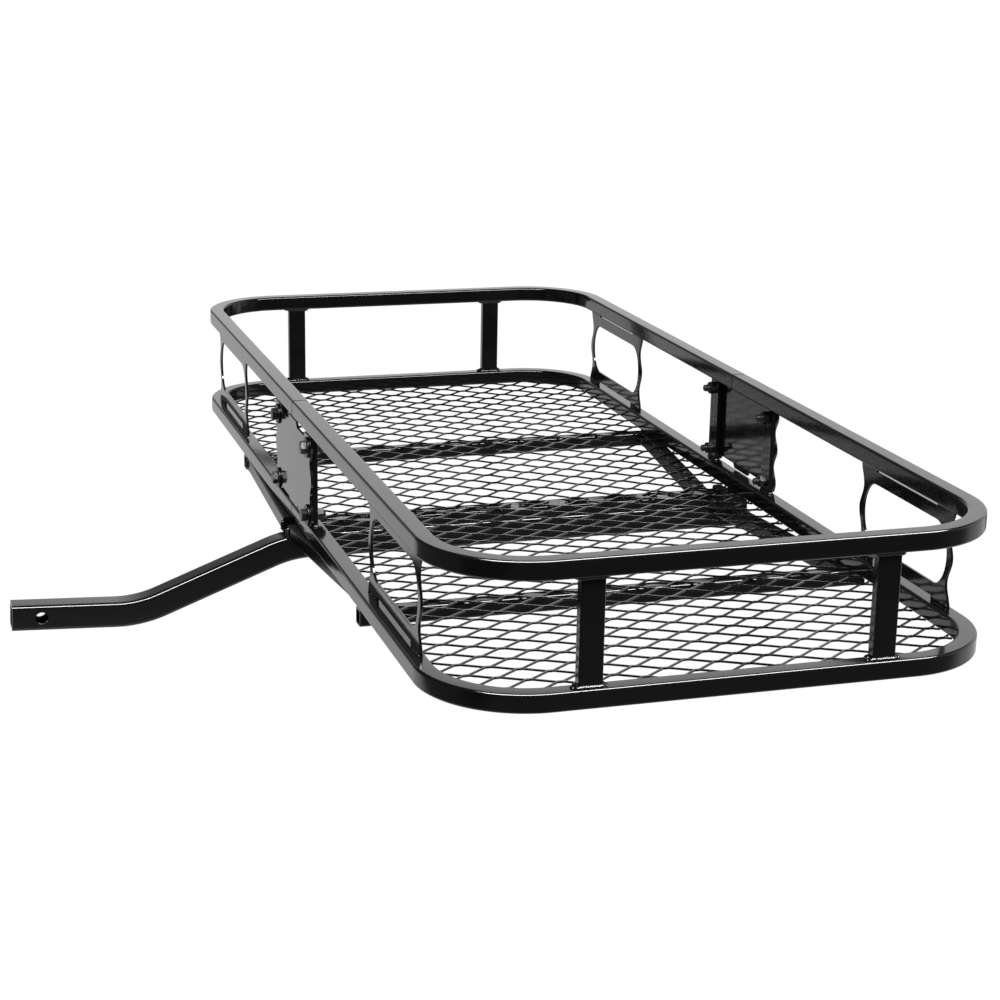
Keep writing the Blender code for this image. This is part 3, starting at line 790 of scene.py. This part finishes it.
def joiner_outline(flank):
    low = RAIL + JOINER_GAP
    high = SIDE_HEIGHT - RAIL - JOINER_GAP
    notch_low = low + JOINER_NOTCHES[flank][0]
    notch_high = high - JOINER_NOTCHES[flank][1]
    ear = JOINER_HALF - JOINER_EAR
    tab, root = JOINER_TAB_HALF, JOINER_TAB_HALF + JOINER_NOTCH_SLANT
    ear_root = ear - JOINER_NOTCH_SLANT
    edge = [(tab, low), (root, notch_low), (ear_root, notch_low), (ear, low)]
    edge += barrel_edge(JOINER_HALF, JOINER_WAIST, 0, low, high, JOINER_EAR_INSET, 60)
    edge += [(ear, high), (ear_root, notch_high), (root, notch_high), (tab, high)]
    return mirrored(edge)


def build_joining_plates():
    for flank, flank_sign in FLANKS.items():
        offset = JOINER_POSTS_X[flank] - JOINER_X[flank]
        holes = [
            circle_points(BOLT / 2 + HOLE_CLEARANCE, centre=(offset + sign * MIDDLE_POST_X, z))
            for sign in SIDES.values()
            for z in BOLT_LEVELS[flank].values()
        ]
        low, high = sorted(flank_sign * y for y in (JOINER_FACE - PLATE, JOINER_FACE))
        finish_piece(
            f"{flank}_plate",
            sheet(joiner_outline(flank), holes, low, high),
            plate_paint,
            [f"{flank}_joining_plate"],
            IN_BASKET @ Matrix.Translation((JOINER_X[flank], 0, 0)),
            bevel=PLATE_EDGE,
        )


def build_plate_bolts():
    grip = PLATE + MIDDLE_POST_DEPTH + 3 * GAP
    draw = random.Random(5)
    for flank, flank_sign in FLANKS.items():
        stack = WASHER + GAP if flank == "front" else 0
        length = stack + grip + NUT + BOLT_TAIL[flank]
        threaded = NUT + BOLT_TAIL[flank] + THREAD_SPARE
        for side, sign in SIDES.items():
            for level, height in BOLT_LEVELS[flank].items():
                label = f"{flank}_{side}_{level}"
                if flank == "front":
                    bm = hexagon_bolt(BOLT_ACROSS_FLATS, BOLT_HEAD, BOLT, length, threaded)
                else:
                    bm = round_bolt(ROUND_HEAD_OUTER, ROUND_HEAD, BOLT, length, threaded)
                shapes = {
                    "bolt": (bm, 0),
                    "nut": (nut_piece(BOLT_ACROSS_FLATS, BOLT + 2 * GAP, NUT), stack + grip),
                }
                if flank == "front":
                    shapes["washer"] = (washer_piece(WASHER_OUTER, BOLT + 2 * GAP, WASHER), GAP)
                for kind, (bm, depth) in shapes.items():
                    face = JOINER_FACE + GAP + stack - depth
                    centre = (JOINER_POSTS_X[flank] + sign * MIDDLE_POST_X, flank_sign * face, height)
                    turn = Matrix.Rotation(math.pi if flank_sign > 0 else 0, 4, "Z")
                    roll = Matrix.Rotation(draw.uniform(0, math.pi / 3), 4, "Y")
                    finish_piece(
                        f"{kind}_{label}_detail",
                        bm,
                        zinc,
                        [f"{kind}_{label}"],
                        IN_BASKET @ Matrix.Translation(centre) @ turn @ roll,
                    )


def build_frame_bolts(side):
    draw = random.Random(9 + SIDES[side])
    for flank, flank_sign in FLANKS.items():
        bm = hexagon_bolt(
            FRAME_BOLT_ACROSS_FLATS,
            FRAME_BOLT_HEAD,
            FRAME_BOLT,
            FRAME_BOLT_LENGTH,
            FRAME_BOLT_THREADED,
        )
        x = SIDES[side] * (GAP + FLOOR_BAR_WIDTH / 2)
        place = Matrix.Translation((x, flank_sign * FRAME_BOLT_Y, TUBE_TOP + GAP))
        turn = Matrix.Rotation(-math.pi / 2, 4, "X")
        roll = Matrix.Rotation(draw.uniform(0, math.pi / 3), 4, "Y")
        finish_piece(
            f"floor_bolt_{side}_{flank}",
            bm,
            zinc,
            [f"frame_bolt_{side}_{flank}"],
            IN_BASKET @ place @ turn @ roll,
        )


def build_floor_bar(side):
    sign = SIDES[side]
    inner, outer = sorted((sign * GAP, sign * (GAP + FLOOR_BAR_WIDTH)))
    reach = WIDTH / 2 - FLOOR_BAR_INSET
    outline = [(outer, reach), (inner, reach), (inner, -reach), (outer, -reach)]
    middle = sign * (GAP + FLOOR_BAR_WIDTH / 2)
    holes = [
        circle_points(FRAME_BOLT / 2 + GAP, 24, (middle, flank_sign * FRAME_BOLT_Y))
        for flank_sign in FLANKS.values()
    ]
    bm = sheet(outline, holes, 0, FLOOR_BAR_HEIGHT)
    lie_down = Matrix(((1, 0, 0, 0), (0, 0, 1, 0), (0, 1, 0, TUBE_TOP - FLOOR_BAR_HEIGHT), (0, 0, 0, 1)))
    finish_piece(
        f"{side}_seam_bar",
        bm,
        rail_paint,
        [f"{side}_floor_bar"],
        IN_BASKET @ lie_down,
        bevel=FLAT_BAR_EDGE,
    )


def build_under_tubes(side):
    sign = SIDES[side]
    height = TUBE_TOP - TUBE / 2
    reach = WIDTH / 2 - CROSS_TUBE_INSET
    ends = [(Vector((CROSS_TUBE_X[side], y, height)), Y_AXIS) for y in (-reach, reach)]
    bm = sweep_tube(ends, Z_AXIS, TUBE, TUBE, RAIL_WALL, RAIL_EDGE)
    finish_piece(
        f"{side}_floor_tube", bm, rail_paint, [f"{side}_cross_tube"]
    )
    tube_face = abs(CROSS_TUBE_X[side]) - TUBE / 2 - GAP / 2
    bar_face = BAR / 2 + GAP / 2
    beads = []
    for flank, (tube_y, bar_y) in (("front", FRONT_BRACE_Y[side]), ("rear", REAR_BRACE_Y)):
        ends = [
            (Vector((sign * tube_face, tube_y, height)), -sign * X_AXIS),
            (Vector((sign * bar_face, bar_y, height)), -sign * X_AXIS),
        ]
        bm = sweep_bar(ends, Z_AXIS, TUBE, RAIL_EDGE)
        finish_piece(
            f"{side}_{flank}_brace_tube", bm, brace_paint, [f"{side}_{flank}_brace"]
        )
        for number, (end, _) in enumerate(ends):
            half = TUBE / 2 + 0.0002
            for y_sign in (-1, 1):
                low = end + Vector((0, y_sign * half, -half + 0.002))
                high = end + Vector((0, y_sign * half, half - 0.0036))
                beads.append(([low, high], BRACE_WELD, f"{side}{flank}{number}{y_sign}b", False))
            below = [end + Vector((0, y * (half - 0.001), -half)) for y in (-1, 1)]
            beads.append((below, BRACE_WELD, f"{side}{flank}{number}u", False))
    for flank_sign in FLANKS.values():
        for x_sign in (-1, 1):
            x = CROSS_TUBE_X[side] + x_sign * (TUBE / 2 - 0.0002)
            path = [
                Vector((x, flank_sign * y, TUBE_TOP))
                for y in (WIDTH / 2 - RAIL + 0.001, WIDTH / 2 - 0.003)
            ]
            beads.append((path, CROSS_TUBE_WELD, f"{side}{flank_sign}{x_sign}t", False))
    welds(f"{side}_under_welds", beads)


# ---- Expanded metal ----
def offset_corner(before, corner, after, first_gap, second_gap):
    """The corner moved inwards by a distance from each of its two edges (anticlockwise outline)."""
    first = (corner - before).normalized()
    second = (after - corner).normalized()
    first_normal = Vector((-first.y, first.x))
    second_normal = Vector((-second.y, second.x))
    turn = first.x * second.y - first.y * second.x
    start = corner + first_normal * first_gap
    goal = corner + second_normal * second_gap
    gap = goal - start
    along = (gap.x * second.y - gap.y * second.x) / turn
    return start + first * along


def floor_planes(side):
    """(point, outward normal) pairs of the floor's edge, inside the lower rail."""
    sign = SIDES[side]
    inset = RAIL + GAP
    reach_x, reach_y = LENGTH / 2 - inset, WIDTH / 2 - inset
    radius = CORNER_RADIUS - inset
    planes = [((sign * FLOOR_SEAM, 0), (-sign, 0)), ((0, reach_y), (0, 1)), ((0, -reach_y), (0, -1))]
    for step in range(CORNER_PLANES + 1):
        angle = math.pi / 2 * step / CORNER_PLANES
        for flank_sign in (-1, 1):
            normal = (sign * math.cos(angle), flank_sign * math.sin(angle))
            centre = (sign * (reach_x - radius), flank_sign * (reach_y - radius))
            planes.append(
                ((centre[0] + radius * normal[0], centre[1] + radius * normal[1]), normal)
            )
    return planes


def build_floor(side):
    """Expanded metal: strands between short bonds, cut off inside the lower rail."""
    sign = SIDES[side]
    origin, step_p, step_q, bond = LATTICE[side]
    half_bond = Vector((0, bond / 2))
    bm = bmesh.new()
    made = {}

    def vert(key, place):
        if key not in made:
            made[key] = bm.verts.new((place.x, place.y, FLOOR_LOW))
        return made[key]

    def bond_end(i, j, way):
        return origin + i * step_p + j * step_q + way * half_bond

    for i in range(-LATTICE_REACH, LATTICE_REACH):
        for j in range(-LATTICE_REACH, LATTICE_REACH):
            middle = bond_end(i, j, 0) + (step_p + step_q) / 2
            outwards = sign * middle.x
            if abs(middle.y) > WIDTH / 2 + LATTICE_MARGIN:
                continue
            if not -LATTICE_MARGIN < outwards < LENGTH / 2 + LATTICE_MARGIN:
                continue
            keys = [(i, j, -1), (i, j + 1, 1), (i + 1, j + 1, -1)]
            keys += [(i + 1, j + 1, 1), (i + 1, j, -1), (i, j, 1)]
            corners = [bond_end(*key) for key in keys]
            gaps = [STRAND_HALF, STRAND_HALF, BOND_HALF, STRAND_HALF, STRAND_HALF, BOND_HALF]
            inner = [
                offset_corner(
                    corners[k - 1], corners[k], corners[(k + 1) % 6], gaps[k - 1], gaps[k]
                )
                for k in range(6)
            ]
            outer_verts = [vert(key, place) for key, place in zip(keys, corners)]
            lean = [STRAND_LEAN, 0, -STRAND_LEAN, -STRAND_LEAN, 0, STRAND_LEAN]
            inner_verts = [
                bm.verts.new((place.x, place.y, FLOOR_LOW + rise))
                for place, rise in zip(inner, lean)
            ]
            bridge(bm, outer_verts, inner_verts)
    for point, normal in floor_planes(side):
        bmesh.ops.bisect_plane(
            bm,
            geom=bm.verts[:] + bm.edges[:] + bm.faces[:],
            plane_co=(*point, 0),
            plane_no=(*normal, 0),
            clear_outer=True,
        )
    bmesh.ops.recalc_face_normals(bm, faces=bm.faces)
    above = bmesh.ops.extrude_face_region(bm, geom=bm.faces[:], use_keep_orig=True)
    moved = [item for item in above["geom"] if isinstance(item, bmesh.types.BMVert)]
    bmesh.ops.translate(bm, vec=(0, 0, FLOOR_HIGH - FLOOR_LOW), verts=moved)
    finish_piece(
        f"{side}_expanded_metal", bm, mesh_paint, [f"{side}_floor"], bevel=STRAND_EDGE
    )


# ---- Light, floor and camera ----
# Radiance of the studio's walls against a direction's parts: (part, share) stops.
HEIGHT_STOPS = [  # against Z: bright up to eye level, dark overhead
    (-1.0, 0.50),
    (-0.10, 0.50),
    (0.10, 0.66),
    (0.34, 0.70),
    (0.47, 0.22),
    (0.60, 0.08),
    (1.0, 0.06),
]
SIDE_STOPS = [(-1.0, 1.0), (0.10, 0.95), (0.62, 0.14), (0.80, 0.10), (1.0, 0.10)]  # against X
FRONT_STOPS = [(-1.0, 0.22), (-0.10, 0.22), (0.16, 1.0), (1.0, 1.0)]  # against Y: dim in front
FRONT_HEIGHT_STOPS = [(-1.0, 1.0), (-0.02, 1.0), (0.14, 0.0), (1.0, 0.0)]  # but not low down
FRONT_END_STOPS = [(-1.0, 0.2), (-0.46, 0.2), (-0.36, 1.0), (1.0, 1.0)]  # and dark far in front
WALL_RADIANCE = 2.0
# Glow of the floor that shows in reflections, against X and Y in metres.
GLOW_STOPS = [(-4.0, 0.78), (0.7, 0.78), (1.25, 0.17), (1.7, 0.14), (2.6, 0.06), (3.0, 0.06)]
GLOW_FRONT_STOPS = [(-4.0, 0.15), (-0.85, 0.15), (-0.60, 1.0), (4.0, 1.0)]
GLOW_FAR_STOPS = [(-4.0, 0.1), (-1.1, 0.1), (-0.8, 1.0), (3.0, 1.0)]  # dark only where both this
GLOW_BACK_STOPS = [(-4.0, 1.0), (0.15, 1.0), (0.45, 0.1), (4.0, 0.1)]  # and this one are
FLOOR_GLOW = 1.02  # of the floor that the camera sees
SOFTBOX_PLACE = (1.16, 0.75, 1.75)
SOFTBOX_SIZE = (0.62, 2.90)
SOFTBOX_RADIANCE = 44.0
CAMERA_PLACE = BASKET_CENTRE + Vector((2.4775, -0.8096, 0.7514))
CAMERA_AIM = Vector((-0.9176, 0.2869, -0.2753)).normalized()
CAMERA_ROLL = math.radians(1.02)
CAMERA_SENSOR, CAMERA_LENS = 36, 75.913  # millimetres
CAMERA_REACH = 200


def ramp(tree, source, stops):
    """A curve through (value, result) stops, with straight runs between them."""
    low, high = stops[0][0], stops[-1][0]
    scaled = [((x - low) / (high - low), y) for x, y in stops]
    stretch = tree.nodes.new("ShaderNodeMapRange")
    stretch.inputs["From Min"].default_value = low
    stretch.inputs["From Max"].default_value = high
    tree.links.new(source, stretch.inputs["Value"])
    node = tree.nodes.new("ShaderNodeFloatCurve")
    points = node.mapping.curves[0].points
    points[0].location = scaled[0]
    points[-1].location = scaled[-1]
    for stop in scaled[1:-1]:
        points.new(*stop)
    for point in points:
        point.handle_type = "VECTOR"
    node.mapping.update()
    tree.links.new(stretch.outputs["Result"], node.inputs["Value"])
    return node.outputs["Value"]


def math_node(tree, operation, first, second):
    """A Math node on two sockets."""
    node = tree.nodes.new("ShaderNodeMath")
    node.operation = operation
    tree.links.new(first, node.inputs[0])
    tree.links.new(second, node.inputs[1])
    return node.outputs["Value"]


def build_world():
    """White walls past the far end, dark on the near end's side, overhead and high in front."""
    world = bpy.data.worlds.new("studio")
    bpy.context.scene.world = world
    world.use_nodes = True
    tree = world.node_tree
    tree.nodes.clear()
    output = tree.nodes.new("ShaderNodeOutputWorld")
    background = tree.nodes.new("ShaderNodeBackground")
    place = tree.nodes.new("ShaderNodeTexCoord")
    parts = tree.nodes.new("ShaderNodeSeparateXYZ")
    tree.links.new(place.outputs["Generated"], parts.inputs["Vector"])

    across, rearwards, height = (parts.outputs[axis] for axis in "XYZ")
    wall = math_node(
        tree, "MULTIPLY", ramp(tree, height, HEIGHT_STOPS), ramp(tree, across, SIDE_STOPS)
    )
    front = math_node(
        tree,
        "MAXIMUM",
        ramp(tree, rearwards, FRONT_STOPS),
        ramp(tree, height, FRONT_HEIGHT_STOPS),
    )
    front = math_node(tree, "MULTIPLY", front, ramp(tree, rearwards, FRONT_END_STOPS))
    wall = math_node(tree, "MULTIPLY", wall, front)
    bright = tree.nodes.new("ShaderNodeMath")
    bright.operation = "MULTIPLY"
    bright.inputs[1].default_value = WALL_RADIANCE
    tree.links.new(wall, bright.inputs[0])
    tree.links.new(bright.outputs["Value"], background.inputs["Strength"])
    tree.links.new(background.outputs["Background"], output.inputs["Surface"])


def build_softbox():
    """Strip lamp over the near end: it draws the bright lines along that end's edges."""
    light = bpy.data.lights.new("softbox", "AREA")
    light.shape = "RECTANGLE"
    light.size, light.size_y = SOFTBOX_SIZE
    light.energy = SOFTBOX_RADIANCE * math.pi * light.size * light.size_y
    softbox = bpy.data.objects.new("softbox", light)
    softbox.location = SOFTBOX_PLACE
    softbox.visible_camera = False
    bpy.context.scene.collection.objects.link(softbox)


def build_floor_plane(name, low_x, high_x, reach_y, height, seen):
    """A glowing white floor. One is seen by the camera, and a smaller one only in reflections."""
    bm = bmesh.new()
    corners = ((low_x, -reach_y), (high_x, -reach_y), (high_x, reach_y), (low_x, reach_y))
    bm.faces.new([bm.verts.new((x, y, height)) for x, y in corners])
    mesh = bpy.data.meshes.new(name)
    bm.to_mesh(mesh)
    bm.free()
    floor = bpy.data.objects.new(name, mesh)
    bpy.context.scene.collection.objects.link(floor)
    material = bpy.data.materials.new("studio_white")
    material.use_nodes = True
    tree = material.node_tree
    tree.nodes.clear()
    glow = tree.nodes.new("ShaderNodeEmission")
    glow.inputs["Strength"].default_value = FLOOR_GLOW
    if not seen:
        place = tree.nodes.new("ShaderNodeTexCoord")
        parts = tree.nodes.new("ShaderNodeSeparateXYZ")
        tree.links.new(place.outputs["Object"], parts.inputs["Vector"])
        across, rearwards = parts.outputs["X"], parts.outputs["Y"]
        fading = math_node(
            tree,
            "MULTIPLY",
            ramp(tree, across, GLOW_STOPS),
            ramp(tree, rearwards, GLOW_FRONT_STOPS),
        )
        corner = math_node(
            tree,
            "MAXIMUM",
            ramp(tree, across, GLOW_FAR_STOPS),
            ramp(tree, rearwards, GLOW_BACK_STOPS),
        )
        tree.links.new(math_node(tree, "MULTIPLY", fading, corner), glow.inputs["Strength"])
    output = tree.nodes.new("ShaderNodeOutputMaterial")
    tree.links.new(glow.outputs["Emission"], output.inputs["Surface"])
    mesh.materials.append(material)
    floor.visible_camera = seen
    floor.visible_glossy = not seen
    floor.visible_diffuse = not seen
    floor.visible_shadow = False


def build_camera():
    right = CAMERA_AIM.cross(Z_AXIS).normalized()
    up = right.cross(CAMERA_AIM)
    across = math.cos(CAMERA_ROLL) * right + math.sin(CAMERA_ROLL) * up
    upward = -math.sin(CAMERA_ROLL) * right + math.cos(CAMERA_ROLL) * up
    data = bpy.data.cameras.new("camera")
    data.sensor_width = CAMERA_SENSOR
    data.lens = CAMERA_LENS
    data.dof.use_dof = False
    data.clip_end = CAMERA_REACH
    camera = bpy.data.objects.new("camera", data)
    turn = Matrix((across, upward, -CAMERA_AIM)).transposed().to_4x4()
    camera.matrix_world = Matrix.Translation(CAMERA_PLACE) @ turn
    bpy.context.scene.collection.objects.link(camera)
    bpy.context.scene.camera = camera


BLACK = (0.0020, 0.0020, 0.0021)
rail_paint = powder_coat("powder_coat", 0.11, BLACK, 0.00004, 0.000005)
bar_paint = powder_coat("powder_coat_bar", 0.12, BLACK, 0.00004, 0.000008)
plate_paint = powder_coat("powder_coat_plate", 0.10, BLACK, 0.00005, 0.000004)
mesh_paint = powder_coat("powder_coat_mesh", 0.16, BLACK, 0.00004, 0.000010)
weld_paint = powder_coat("powder_coat_weld", 0.09, BLACK, 0.00016, 0.000030)
brace_paint = powder_coat("powder_coat_brace", 0.24, BLACK, 0.00012, 0.00003, ior=1.28)
zinc = black_zinc()

build_camera()
build_world()
build_floor_plane("studio_floor", -60, 60, 60, -0.46, True)
build_floor_plane("studio_floor_glow", -4, 3, 4, -0.45, False)
build_softbox()
bpy.context.scene.view_settings.view_transform = "Standard"
build_hitch_bar()
for side_name in SIDES:
    build_rails(side_name)
    build_end_posts(side_name)
    build_corner_brackets(side_name)
    build_middle_posts(side_name)
    build_floor(side_name)
    build_floor_bar(side_name)
    build_under_tubes(side_name)
    build_frame_bolts(side_name)
build_joining_plates()
build_plate_bolts()
